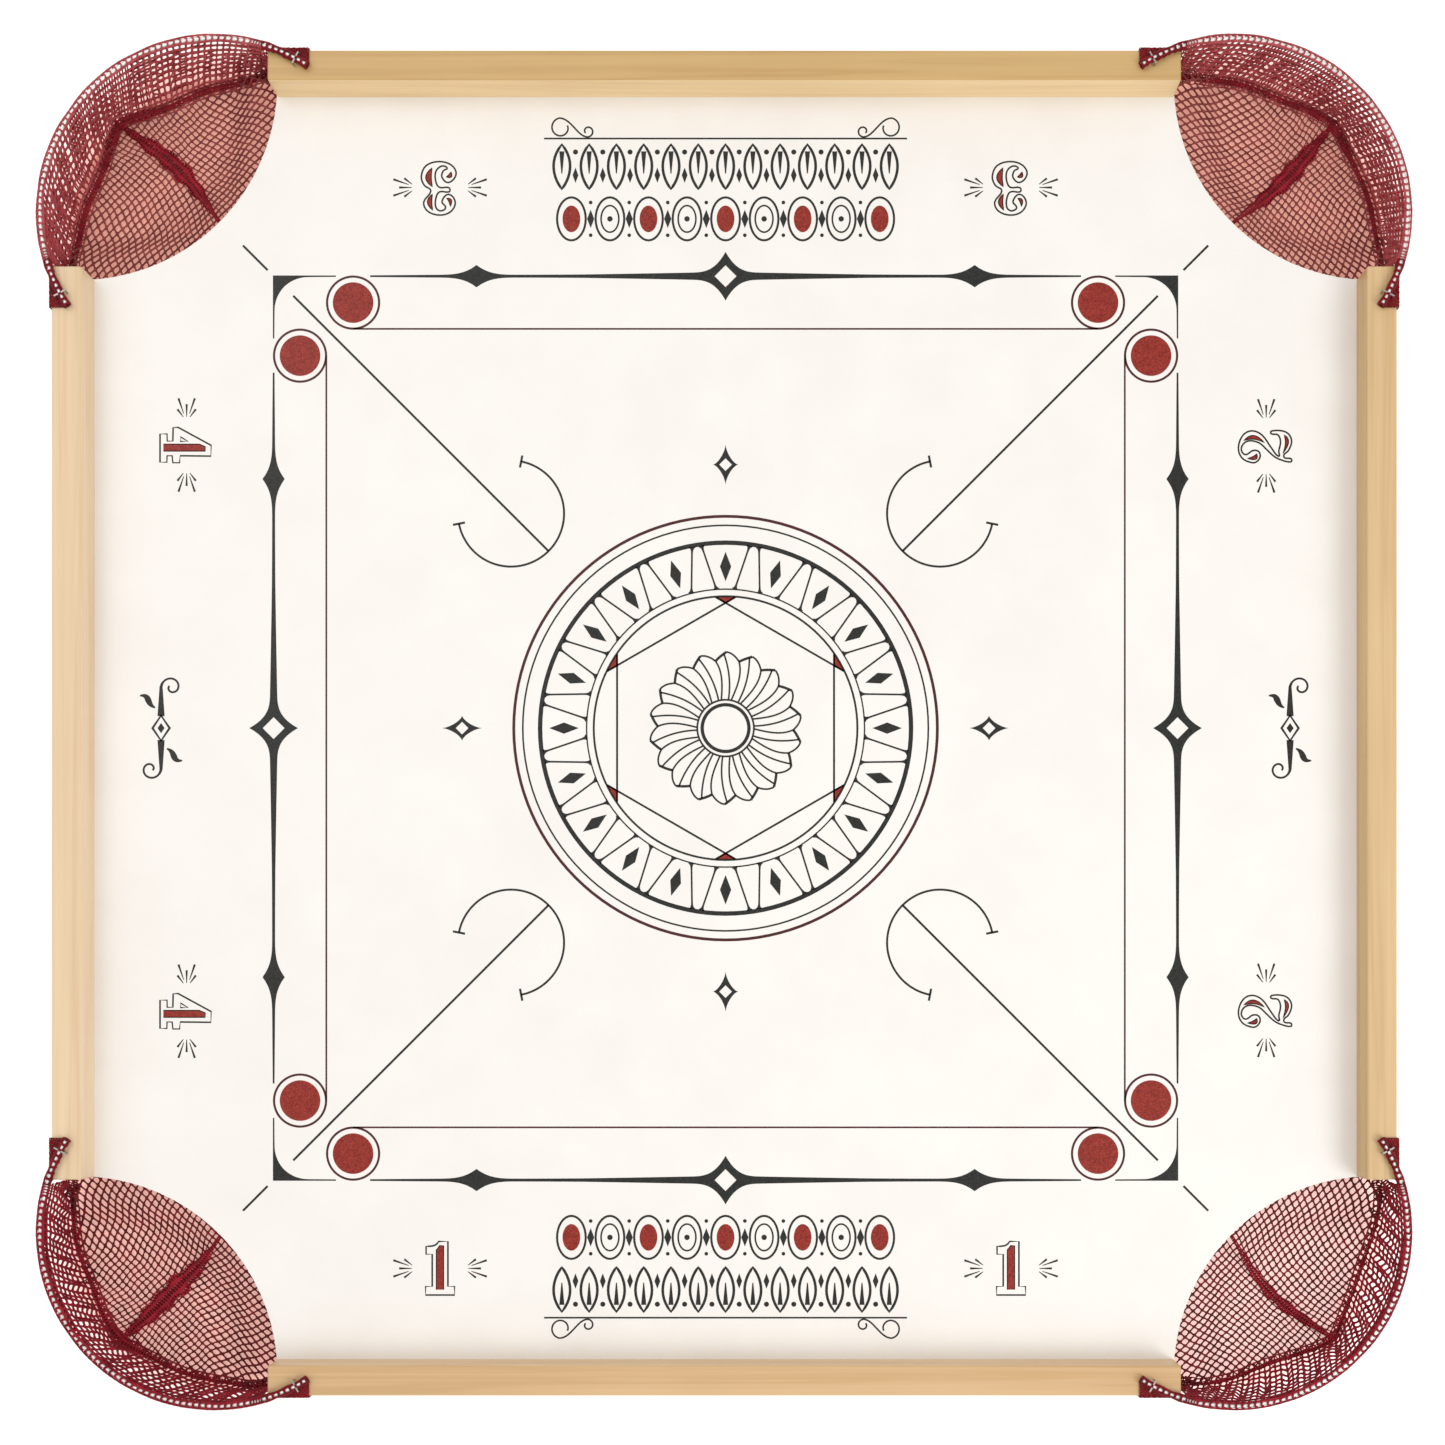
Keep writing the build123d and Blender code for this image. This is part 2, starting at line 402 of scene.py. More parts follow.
def petals(black):
    """Overlapping petals round the centre: each has an edge, a rib and a rounded lobe."""
    count = 18
    shoulder, tip = polar(39.7, -8.5), polar(44.7, 0.6)
    lines = (
        (curve(polar(17.0, -8.3), polar(25, -4.3), polar(33, -2.6), shoulder), FINE * 0.78),
        (curve(polar(17.0, 5.9), polar(26, 6.6), polar(34, 4.0), polar(43.5, -1.2)), FINE * 0.78),
        (curve(shoulder, polar(42.2, -4.6), polar(43.6, -1.2), tip, steps=8), BOLD * 0.95),
        (curve(tip, polar(44.3, 6.2), polar(39.7, 11.5), steps=10), FINE * 0.82),
    )
    for index in range(count):
        black.at(index * 360 / count)
        for path, width in lines:
            black.stroke(path, width)


# Numerals, each as outlines and red cores, drawn upright about its own centre, 31 mm tall


def numeral_one():
    flag = curve(-0.9 + 15.8j, -2.2 + 13.4j, -3.6 + 13.0j, -8.2 + 12.9j, steps=8)
    outline = [4.6 + 15.8j] + flag + [-8.2 + 8.3j, -4.6 + 8.3j, -4.6 - 10.6j, -8.5 - 10.6j]
    outline += [-8.5 - 15.6j, 8.5 - 15.6j, 8.5 - 10.6j, 4.6 - 10.6j]
    stem = [2.1 + 13.4j, -0.2 + 13.4j] + curve(-0.4 + 13.2j, -1.4 + 11.4j, -2.2 + 11.0j, steps=4)
    return [outline], [stem + [-2.2 - 12.4j, 2.1 - 12.4j]]


def numeral_two():
    bowl = [-9.9 + 8.0j, -7.1 + 14.2j, -0.9 + 16.3j, 6.5 + 13.4j, 8.8 + 8.0j, 6.1 + 2.2j, -1.3 - 3.1j]
    foot = [-6.2 - 7.4j, -3.0 - 7.4j, 2.4 - 8.4j, 6.4 - 6.9j, 7.1 - 2.9j, 8.7 - 3.1j, 8.7 - 9.8j]
    heel = [6.5 - 13.5j, 2.4 - 14.9j, -2.8 - 13.0j, -5.2 - 10.4j, -7.0 - 10.8j, -7.6 - 14.6j, -9.4 - 14.5j]
    inside = [-8.3 - 8.9j, -6.3 - 4.8j, -2.1 - 0.2j, 1.6 + 3.9j, 3.0 + 9.3j, 1.6 + 13.0j, -1.7 + 14.6j]
    curl = [-4.6 + 13.4j, -5.0 + 11.3j, -2.8 + 8.0j, -3.1 + 4.7j, -5.9 + 3.5j, -8.9 + 5.1j]
    cores = [
        crescent(3.0 + 13.2j, 5.4 + 7.4j, 1.8 + 1.0j, 9.8 + 7.6j),
        crescent(-7.4 + 11.0j, -6.4 + 7.0j, -4.6 + 5.6j, -9.6 + 3.6j),
        crescent(-4.4 - 9.8j, 2.0 - 12.4j, 6.4 - 10.4j, 3.6 - 16.2j),
    ]
    return [looped(bowl + foot + heel + inside + curl)], cores


def numeral_three():
    right = [-8.9 + 8.6j, -6.2 + 14.2j, 0.4 + 16.2j, 7.4 + 13.8j, 9.6 + 8.6j, 5.4 + 1.9j]
    right += [9.2 - 1.2j, 11.0 - 6.4j, 8.2 - 12.8j, 0.4 - 15.2j, -6.8 - 13.0j, -9.4 - 7.7j]
    low_curl = [-5.0 - 2.9j, -1.1 - 6.0j, -1.9 - 9.8j, -4.2 - 11.4j, -0.8 - 12.5j, 2.5 - 9.3j]
    bar = [2.5 - 3.5j, 0.4 - 0.1j, -5.2 + 0.1j, -5.4 + 2.5j, 0.4 + 2.6j, 2.5 + 6.5j]
    top_curl = [2.5 + 11.5j, 0.4 + 13.6j, -2.5 + 13.0j, -3.2 + 11.3j, -1.1 + 8.2j, -5.0 + 4.0j]
    cores = [
        crescent(4.2 + 13.4j, 5.4 + 8.6j, 4.4 + 3.8j, 10.6 + 8.4j),
        crescent(4.4 - 0.4j, 5.8 - 5.8j, 4.6 - 11.6j, 12.4 - 5.6j),
        crescent(-6.0 + 11.2j, -5.4 + 7.6j, -3.8 + 6.4j, -8.4 + 5.8j),
        crescent(-6.4 - 9.2j, -8.2 - 4.6j, -3.6 - 6.2j, -5.2 - 7.2j),
    ]
    return [looped(right + low_curl + bar + top_curl)], cores


def numeral_four():
    outline = [0.2 + 14.4j, 6.5 + 14.2j, 6.3 - 3.8j, 10.4 - 4.1j, 10.4 - 8.1j, 6.3 - 8.5j, 6.3 - 11.5j]
    outline += [10.1 - 11.6j, 10.1 - 15.6j, -6.5 - 15.6j, -6.5 - 11.5j, -2.3 - 11.4j, -2.3 - 8.1j]
    outline += [-10.2 - 7.9j, -10.4 - 5.1j]
    window = [-2.1 + 0.8j, -4.8 - 3.6j, -2.1 - 3.6j]
    stem = [-0.5 + 7.5j, 1.0 + 11.0j, 3.6 + 11.0j, 3.6 - 13.6j, -0.5 - 13.6j]
    return [outline, window], [stem]


def rays(black):
    """A fan of five short strokes on each side of a numeral, thickest at the outer end."""
    upper = ((16.4 + 1.9j, 21.0 + 5.4j), (18.4 + 1.7j, 27.4 + 4.8j))
    lower = tuple((inner.conjugate(), outer.conjugate()) for inner, outer in upper)
    for sign in (-1, 1):
        for inner, outer in (*upper, (16.6, 24.0), *lower):
            black.stroke([sign * inner, sign * outer], [0.4, FINE])


def numerals(black, red):
    """The same numeral twice on each side, turned to face the player there."""
    places = (
        (numeral_one, -316.8, 167.4),
        (numeral_two, -317.0, 165.5),
        (numeral_three, -317.0, 167.4),
        (numeral_four, -316.0, 166.0),
    )
    for degrees, (shape, depth, spread) in zip(QUARTERS, places):
        outlines, cores = shape()
        for sign in (-1, 1):
            for pen in (black, red):
                pen.at(degrees, complex(sign * spread, depth))
            for outline in outlines:
                black.outlined(outline)
            for core in cores:
                red.fill(core)
                black.outlined(core, THIN * 0.6)
            rays(black)


# Scrollwork where the original carries words


def oval(black, red, filled):
    rim = [complex(8.4 * math.cos(t), 12.6 * math.sin(t)) for t in np.linspace(0, 2 * math.pi, 33)[:-1]]
    inner = [0.62 * point for point in rim]
    black.outlined(rim, FINE)
    if filled:
        red.fill(inner)
    else:
        black.outlined(inner)
        black.fill(circle(0, 1.6, 20))


def leaf(black):
    left = curve(-13j, -8.4 - 3j, -4.2 + 8j, 13j, steps=12)
    right = [-point.conjugate() for point in left]
    black.outlined(left + right[-2:0:-1], BOLD)
    black.stroke([-9j, 4j], [3.0, 0.6])


def frieze(black, red, degrees):
    """A row of ovals over a row of leaves, along the front or back edge, and a line with curls."""
    oval_gap, leaf_gap, line_half = 22.6, 16.0, 106.4
    for index in range(-4, 5):
        for pen in (black, red):
            pen.at(degrees, index * oval_gap - 298.6j)
        oval(black, red, filled=index % 2 == 0)
        if index < 4:
            link = oval_gap / 2
            black.fill(lozenge(2.1, 5.4, link))
            for sign in (-1, 1):
                black.fill(circle(link + sign * 9.6j, 1.1, 30))
    for index in range(-6, 7):
        black.at(degrees, index * leaf_gap - 329.2j)
        leaf(black)
        if index < 6:
            link = leaf_gap / 2
            black.fill(lozenge(1.7, 4.5, link + 5j))
            black.fill(circle(link - 8.6j, 1.5, 24))
    black.at(degrees, -345.7j)
    black.stroke([-line_half, line_half])
    for sign in (-1, 1):
        black.stroke([complex(sign * point.real, point.imag) for point in curls()])


def curls():
    """A large and a small curl joined by an S, hanging under one end of the frieze's line."""
    large = spiral(96.5 - 6.3j, 4.0, 5.8, 200, -80)
    small = spiral(80.8 - 4.3j, 3.4, 1.6, 90, 400)
    link = curve(large[-1], large[-1] - 7.0, small[0] + 6.0, small[0])
    return large[:-1] + link + small[1:]


def side_flourish(black):
    """A tapered bar with a diamond in its middle, and at each end a scroll and a leaf."""
    start, bar, scroll, steps = 7.0, 24.0, 6.2, 12
    spine = [start + (bar - start) * index / steps for index in range(steps)]
    spine += spiral(complex(bar, -scroll), scroll, 1.4, 90, -300)
    widths = [max(1.2, 4.2 - 0.2 * index) for index in range(len(spine))]
    blade = curve(12.0 - 3.4j, 14.0 - 9.0j, 20.0 - 6.0j, 19.0 - 12.4j)
    last = len(blade) - 1
    swelling = [0.8 + 2.8 * math.sin(math.pi * index / last) for index in range(last + 1)]
    for sign in (-1, 1):
        black.stroke([sign * point for point in spine], widths)
        black.stroke([sign * point.conjugate() for point in blade], swelling)
    black.outlined(lozenge(start + 0.4, 5.0), BOLD)
    black.fill(lozenge(3.0, 2.1))


def print_field(black, red, maroon):
    """All the printing, one piece for each motif and ink."""
    border = Ink("print_border", black)
    bases, dots = Ink("print_base_lines", maroon), Ink("print_base_dots", red)
    arrows, stars = Ink("print_arrows", black), Ink("print_stars", black)
    rosette, wedges = Ink("print_rosette", black), Ink("print_rosette_wedges", red)
    outer_ring = Ink("print_outer_ring", maroon)
    digits, cores = Ink("print_numerals", black), Ink("print_numeral_cores", red)
    ornaments, fills = Ink("print_ornaments", black), Ink("print_ornament_fills", red)
    for degrees in QUARTERS:
        for pen in (border, bases, dots, arrows):
            pen.at(degrees)
        stars.at(degrees, STAR_PLACE * 1j)
        border_side(border)
        corner_ornament(border)
        base_lines(bases, dots)
        arrow(arrows)
        small_star(stars)
    rosette_rings(rosette, outer_ring)
    rosette_cells(rosette)
    hexagon(rosette, wedges)
    petals(rosette)
    numerals(digits, cores)
    for degrees in (0, 180):
        frieze(ornaments, fills, degrees)
    for degrees in (90, 270):
        ornaments.at(degrees, FLOURISH_PLACE * 1j)
        side_flourish(ornaments)
    of_field = (border, bases, dots, arrows, stars)
    for pen in (*of_field, rosette, wedges, outer_ring, digits, cores, ornaments, fills):
        pen.make()


# Netting


PITCH = 3.7  # from one hole to the next
HOLE_SIDE = 1.45  # from a hole's centre to the middle of its side
HOLE_CORNER = 1.2  # the same to its rounded corner, along and across
THREAD = 0.5  # half the netting's thickness
AROUND = ((1, 0), (1, 1), (0, 1), (-1, 1), (-1, 0), (-1, -1), (0, -1), (1, -1))
THREAD_RINGS = ((0, 1), (0.62, 0.85), (1, 0), (0.62, -0.85), (0, -1))  # share to the hole, height
KNOT = 1.2  # how much thicker the crossings are


class Netting:
    """Knitted netting as one closed mesh: rounded square holes in a cloth of round threads."""

    def __init__(self, scale=1.0, openness=1.0, around=0):
        self.pitch = PITCH * scale
        self.thread = THREAD * scale
        self.openness = openness
        self.girth = around * self.pitch  # of a sleeve, or 0 for a flat cloth
        self.flat = []  # (u, v, height over the cloth's middle)
        self.faces = []
        self.known = {}
        self.edges = {}
        self.cells = 0

    def _point(self, u, v, height):
        if self.girth:
            u = round(u / self.girth, 5) % 1 * self.girth
        key = (round(u, 3), round(v, 3), round(height, 3))
        if key not in self.known:
            self.known[key] = len(self.flat)
            self.flat.append((u, v, height))
        return self.known[key]

    def _ring(self, u, v, share, level):
        """The eight points round one cell, from its edge (0) to its hole (1)."""
        ring = []
        for along, across in AROUND:
            knotted = along and across
            reach = (HOLE_CORNER if knotted else HOLE_SIDE) / PITCH * self.openness
            reach = self.pitch * (0.5 + (reach - 0.5) * share)
            height = self.thread * level * (1 + (KNOT - 1) * (1 - share) if knotted else 1)
            ring.append(self._point(u + along * reach, v + across * reach, height))
        return ring

    def cell(self, u, v):
        rings = [self._ring(u, v, share, level) for share, level in THREAD_RINGS]
        for index in range(len(AROUND)):
            after = (index + 1) % len(AROUND)
            for outer, inner in zip(rings, rings[1:]):
                self.faces.append((outer[index], outer[after], inner[after], inner[index]))
            top, low = rings[0], rings[-1]
            key = tuple(sorted((top[index], top[after])))
            if key in self.edges:
                del self.edges[key]
            else:
                self.edges[key] = (top[index], low[index], low[after], top[after])
        self.cells += 1

    def patch(self, u_range, v_range, keep=None):
        """Cells over a rectangle of cloth, where keep(u, v) is true for arrays of their centres.

        Returns the rectangle's size in metres, to the nearest whole cell.
        """
        columns = round((u_range[1] - u_range[0]) / self.pitch)
        rows = round((v_range[1] - v_range[0]) / self.pitch)
        us, vs = np.meshgrid(np.arange(columns) + 0.5, np.arange(rows) + 0.5)
        us, vs = us.ravel() * self.pitch + u_range[0], vs.ravel() * self.pitch + v_range[0]
        kept = keep(us, vs) if keep else np.full(len(us), True)
        for u, v in zip(us[kept], vs[kept]):
            self.cell(float(u), float(v))
        return columns * self.pitch * MM, rows * self.pitch * MM

    def flat_area(self):
        """The area of cloth in square metres."""
        return self.cells * (self.pitch * MM) ** 2

    def make(self, name, surface, material):
        """The mesh, with surface(u, v) giving the cloth's points as an array of three columns."""
        u, v, height = np.array(self.flat).T
        step = 0.15
        along = surface(u + step, v) - surface(u - step, v)
        across = surface(u, v + step) - surface(u, v - step)
        normal = np.cross(along, across)
        normal /= np.maximum(np.linalg.norm(normal, axis=1), 1e-9)[:, None]
        points = surface(u, v) + normal * height[:, None]
        faces = self.faces + list(self.edges.values())
        return mesh_object(name, points.tolist(), faces, material, smooth=True)


# One pocket, in the corner's own directions: out along the diagonal, and across it


ROOT_TWO = math.sqrt(2)
CUTOUT_OUT = RAIL_LINE * ROOT_TWO
MOUTH_OUT = CUTOUT_OUT - CUTOUT_RADIUS
HOOP_OUT = HOOP_CENTRE * ROOT_TWO
HOOP_HALF = 45 + math.degrees(math.asin((HOOP_CENTRE - RAIL_END) / HOOP_RADIUS))
NET_FLOOR = 1.4
RAIL_END_RISE = 9.0
RIDGE_INSET = 2.5  # from the hoop in to the fold round the bag's bottom
RIDGE_END = 68.0  # degrees from the diagonal
MOUTH_HALF = 90.0
CLOTH_HALF = 92.5  # the mouth's half width and a little more, in whole cells
NARROWING = 0.26  # how much the cloth draws in towards the hoop
WANDER = 0.22  # how far the rows of holes stray from straight
RAIL_GAP = 0.8  # between a rail's end and the netting pressed against it
FLANGE = 8.0
FOLD_SCALE, FOLD_OPENNESS, FOLD_AROUND = 0.5, 0.8, 7  # of gathered netting, and its cells round a roll
HEM_AROUND = 3
PRESSED = 0.48  # how close the cloth between wire and rail comes to the wood
TAB_SKIN = 0.75
PLEAT_END = 1.5
HEM_REACH = 2.4  # from the wire's top round to the first thread on each side
HEM_DRIFT = 0.8  # how far that row wanders off the top
HEM_ROWS = 2  # below the wire, where the netting ends outside the hoop
FLANGE_Z = PANEL_BOTTOM - 1.0
WRAP = WIRE / 2 + 0.65  # from the wire's middle to the netting round it
WALL_HALF = HOOP_HALF - 0.9
WALL_LEAN = 0.45
BUNCH, BUNCH_END = 9.0, 4.0  # degrees of netting gathered at a rail's end, and the room they have
PROFILE_STEPS = 240
PROFILE_PLACES = 61


def to_board(out, across, height, quarter):
    """Points in a corner's own directions as board points, for the corner that many turns round."""
    angle = math.radians(45 + 90 * quarter)
    x = out * math.cos(angle) - across * math.sin(angle)
    y = out * math.sin(angle) + across * math.cos(angle)
    return np.stack([x, y, height], axis=1)


def smooth_step(x, low, high):
    t = np.clip((x - low) / (high - low), 0, 1)
    return t * t * (3 - 2 * t)


def between(first, second, share):
    return first * (1 - share) + second * share


def clear_of_rails(out, across):
    """The same places, but none of them inside a rail's end."""
    x, y = (out - across) / ROOT_TWO, (out + across) / ROOT_TWO
    short, long = np.minimum(x, y), np.maximum(x, y)
    short = np.where(long > PLAY_HALF - RAIL_GAP, np.maximum(short, RAIL_END + RAIL_GAP), short)
    return (short + long) / ROOT_TWO, np.sign(across) * (long - short) / ROOT_TWO


def hoop_polar(out, across):
    """Distance from the hoop's centre, and the angle from the diagonal in degrees."""
    return np.hypot(out - HOOP_OUT, across), np.degrees(np.arctan2(across, out - HOOP_OUT))


def about_hoop(angle, radius):
    """Places out and across from an angle and distance about the hoop's centre."""
    flat = np.radians(angle)
    return HOOP_OUT + radius * np.cos(flat), radius * np.sin(flat)


def bed_height(angle):
    """How high the bag's lowest stretch lies: on the table, but rising towards the rails' ends."""
    return NET_FLOOR + RAIL_END_RISE * smooth_step(np.abs(angle), 42.0, 66.0)


class Pocket:
    """How the netting of one pocket hangs."""

    def __init__(self, quarter, pleat, sway, gather, fold, doubled, openness, turn):
        self.quarter = quarter
        self.corner = CORNERS[quarter]
        self.pleat = pleat  # the pleat's greatest width
        self.sway = sway  # how far the pleat bows sideways
        self.gather = gather  # how far the bottom fold bows away from the hoop
        self.fold = fold  # the bottom fold's width
        self.doubled = doubled  # whether the netting hangs down outside the hoop as well
        self.openness = openness  # of the holes in the netting round the hoop
        self.turn = turn  # sets the small wrinkles
        self.measure_wall()

    def named(self, kind, side=0):
        """The name of one of the pocket's pieces, with its side where it has one on each."""
        ending = {0: "", 1: "_left", -1: "_right"}[side]
        return f"net_{kind}_{self.corner}{ending}"

    def ridge_radius(self, angle):
        """How far from the hoop's centre the fold round the bag's bottom lies."""
        bow = np.sin(np.pi * np.minimum(np.abs(angle) / RIDGE_END, 1) ** 0.65) ** 2
        return HOOP_RADIUS - RIDGE_INSET - self.gather * bow + 0.5 * np.sin(angle / 5.0 + self.turn)

    def pleat_line(self, share):
        """The pleat's middle, from the panel's edge (0) to the bottom fold (1)."""
        reach = self.ridge_radius(np.zeros_like(share)) + HOOP_OUT - MOUTH_OUT
        return MOUTH_OUT + reach * share, self.sway * np.sin(np.pi * share) + 0.5 * np.sin(9 * share)

    def pleat_width(self, share):
        hump = np.sin(np.pi * np.clip(share, 0, 1) ** 1.2) ** 1.4
        ragged = 1 + 0.13 * np.sin(19 * share + self.turn) * np.sin(9 * share)
        return PLEAT_END + (self.pleat - PLEAT_END) * hump * ragged

    def inner_place(self, u, v):
        """Where a point of the inner netting lies, seen from above."""
        sagitta = CUTOUT_RADIUS - np.sqrt(CUTOUT_RADIUS**2 - np.clip(u, -MOUTH_HALF, MOUTH_HALF) ** 2)
        along = np.maximum(0, v - sagitta)
        share = along / (HOOP_OUT + HOOP_RADIUS - MOUTH_OUT)
        taken = 0.8 * self.pleat_width(share) * smooth_step(share, 0, 0.25)
        across = u * (1 - NARROWING * share) - np.sign(u) * taken * smooth_step(np.abs(u), 0, 8)
        across = across + self.sway * np.sin(np.pi * np.clip(share, 0, 1)) * (1 - np.abs(u) / MOUTH_HALF)
        out = MOUTH_OUT + v + WANDER * np.sin(u / 2.3 + v / 4.1 + self.turn)
        across = across + WANDER * np.sin(v / 2.6 - u / 5.2)
        return clear_of_rails(out, across)

    def inner_height(self, out, across):
        depth = CUTOUT_RADIUS - np.hypot(out - CUTOUT_OUT, across)
        radius, angle = hoop_polar(out, across)
        bed = bed_height(angle)
        height = bed + (FLANGE_Z - bed) * (1 - smooth_step(depth, -1.0, 32.0))
        to_ridge = self.ridge_radius(angle) - radius
        height = height + 2.4 * (1 - smooth_step(to_ridge, 0.0, 7.0))
        fan = np.abs(np.sin(np.radians(angle) * 9.0 + across / 9.0 + self.turn))
        near = np.exp(-((np.hypot(out - HOOP_OUT - 84.0, across) / 24.0) ** 2))
        slack = np.sin(out / 9.0 + self.turn) * np.sin(across / 10.0)
        return height + 1.5 * fan * near + 0.6 * np.maximum(0, slack) * smooth_step(depth, 6.0, 24.0)

    def inner(self, u, v):
        out, across = self.inner_place(u, v)
        return to_board(out, across, self.inner_height(out, across), self.quarter)

    def inner_kept(self, u, v):
        """Whether a hole lies between the flange under the panel, the rails' ends and the bottom fold."""
        out, across = self.inner_place(u, v)
        depth = CUTOUT_RADIUS - np.hypot(out - CUTOUT_OUT, across)
        radius, angle = hoop_polar(out, across)
        x, y = (out - across) / ROOT_TWO, (out + across) / ROOT_TWO
        pressed = (np.maximum(x, y) > PLAY_HALF) & (np.minimum(x, y) < RAIL_END + RAIL_GAP + 0.01)
        same_side = np.sign(across - self.sway * 0.5) == np.sign(u)
        in_bag = (radius < self.ridge_radius(angle)) & (same_side | (np.abs(across) > 6))
        return (depth > -FLANGE) & in_bag & ~pressed

    def wall_profile(self, angle):
        """Radius and height from the bottom fold up to the hoop, over it, and down outside to the table."""
        ridge, bed = float(self.ridge_radius(angle)), float(bed_height(angle))
        low, middle = bed - 0.6, (bed + HOOP_Z) / 2
        return [
            (ridge - 4.0, bed + 1.6),
            (ridge + 0.5, bed + 1.4),
            (ridge + 1.6, bed + 6.0),
            (HOOP_RADIUS - 3.4, middle),
            (HOOP_RADIUS - 2.2, HOOP_Z - 5.0),
            (HOOP_RADIUS - WRAP, HOOP_Z - 1.0),
            (HOOP_RADIUS - WRAP, HOOP_Z + WRAP),
            (HOOP_RADIUS + WRAP, HOOP_Z + WRAP),
            (HOOP_RADIUS + WRAP, HOOP_Z - 1.0),
            (HOOP_RADIUS + 1.0, HOOP_Z - 6.0),
            (HOOP_RADIUS + 0.6, middle),
            (HOOP_RADIUS + 0.3, low + 4.0),
            (HOOP_RADIUS - 1.5, low),
            (ridge - 1.0, low),
        ]

    def measure_wall(self):
        """Works out the wall's profile at even angles, with a row of holes along the wire's top."""
        places = np.linspace(-WALL_HALF, WALL_HALF, PROFILE_PLACES)
        made = [rounded_path(self.wall_profile(angle)) for angle in places]
        self.rows = 2 * round(min(run[-1] for _, run in made) / PITCH / 2) + 1
        self.length = self.rows * PITCH
        marks = (0, (self.length - PITCH) / 2, (self.length + PITCH) / 2, self.length)
        cloth = np.linspace(0, self.length, PROFILE_STEPS)
        paths = []
        for angle, (path, run) in zip(places, made):
            crest = run[path[:, 1] > path[:, 1].max() - 1e-6].mean()
            crest += HEM_DRIFT * math.sin(angle / 8.0 + 2 * self.turn) * math.cos(angle / 3.1)
            at = np.interp(cloth, marks, (0, crest - HEM_REACH, crest + HEM_REACH, run[-1]))
            paths.append(np.stack([np.interp(at, run, path[:, 0]), np.interp(at, run, path[:, 1])], 1))
        self.paths = np.array(paths)

    def wall_end(self):
        """How far the netting runs: back down to the table, or only to a hem below the wire."""
        return self.length if self.doubled else (self.rows // 2 + 1 + HEM_ROWS) * PITCH

    def wall_angle(self, u, v):
        """The angle round the hoop, with leaning rows that are bunched up against the rails' ends."""
        angle = np.degrees((u + WALL_LEAN * np.abs(v - self.length / 2)) / HOOP_RADIUS)
        beyond = np.maximum(0, np.abs(angle) - (WALL_HALF - BUNCH_END))
        kept = np.minimum(BUNCH_END, beyond * BUNCH_END / BUNCH)
        return np.sign(angle) * (np.abs(angle) - beyond + kept)

    def wall_kept(self, u, v):
        return np.abs(self.wall_angle(u, v)) < WALL_HALF - 0.01

    def wall(self, u, v):
        angle = self.wall_angle(u, v)
        slot = np.clip((angle + WALL_HALF) / (2 * WALL_HALF), 0, 1) * (PROFILE_PLACES - 1.001)
        spot = np.clip(v / self.length, 0, 1) * (PROFILE_STEPS - 1.001)
        row, step = slot.astype(int), spot.astype(int)
        down, on = (slot - row)[:, None], (spot - step)[:, None]
        first = between(self.paths[row, step], self.paths[row, step + 1], on)
        second = between(self.paths[row + 1, step], self.paths[row + 1, step + 1], on)
        radius, height = between(first, second, down).T
        loose = smooth_step(height, 3.0, 14.0) * (1 - smooth_step(height, 24.0, 37.0))
        inside = 1 - smooth_step(radius, HOOP_RADIUS - 1.0, HOOP_RADIUS)
        folds = np.sin(u / 2.6 + 1.4 * np.sin(u / 17.0 + self.turn)) + 0.6 * np.sin(u / 1.1 + height / 9.0)
        radius = radius + loose * (1.1 * inside * folds - 0.5 * (1 - inside) * (1 + folds))
        return to_board(*about_hoop(angle, radius), height, self.quarter)


def rounded_path(points):
    """A path with its corners cut three times, and how far along it each of its points lies."""
    points = np.array(points, float)
    for _ in range(3):
        cut = np.empty((2 * len(points) - 2, 2))
        cut[0::2] = points[:-1] * 0.75 + points[1:] * 0.25
        cut[1::2] = points[:-1] * 0.25 + points[1:] * 0.75
        points = np.vstack([points[:1], cut, points[-1:]])
    return points, np.concatenate([[0], np.cumsum(np.hypot(*np.diff(points, axis=0).T))])


def gathered(name, pocket, cloth, length, middle, width, rise, material, lowest=0.0):
    """Netting gathered into a flattened roll: middle(share) is its line, width and rise its section."""
    rows = round(length / cloth.pitch)
    length = rows * cloth.pitch

    def surface(u, v):
        share = v / length
        out, across, height = middle(share)
        step_out, step_across, _ = middle(share + 0.004)
        run = np.hypot(step_out - out, step_across - across)
        side_out, side_across = (step_across - across) / run, (out - step_out) / run
        angle = 2 * np.pi * (u - cloth.pitch / 2) / cloth.girth + np.pi / 2
        reach = width(share) / 2 * np.cos(angle) * (1 + 0.15 * np.sin(share * length / 2.1))
        height = np.maximum(height + rise / 2 * np.sin(angle), lowest)
        return to_board(out + side_out * reach, across + side_across * reach, height, pocket.quarter)

    cloth.patch((0, cloth.girth), (0, length))
    return cloth.make(name, surface, material)


def ridge_roll(pocket, material):
    """The gathered fold along the bag's bottom, from rail end to rail end."""
    half = WALL_HALF - 2.0

    def middle(share):
        angle = (2 * share - 1) * half
        out, across = about_hoop(angle, pocket.ridge_radius(angle) - 0.8)
        return out, across, bed_height(angle) + 2.5

    def width(share):
        from_middle = np.abs(2 * share - 1)
        bunched = 2.2 * np.exp(-((from_middle / 0.18) ** 2)) + 1.2 * from_middle**7
        return pocket.fold * (1 + bunched + 0.25 * np.sin(31 * share + pocket.turn))

    length = 2 * math.radians(half) * HOOP_RADIUS * 0.95
    cloth = Netting(FOLD_SCALE, FOLD_OPENNESS, FOLD_AROUND)
    return gathered(pocket.named("fold"), pocket, cloth, length, middle, width, 2.4, material)


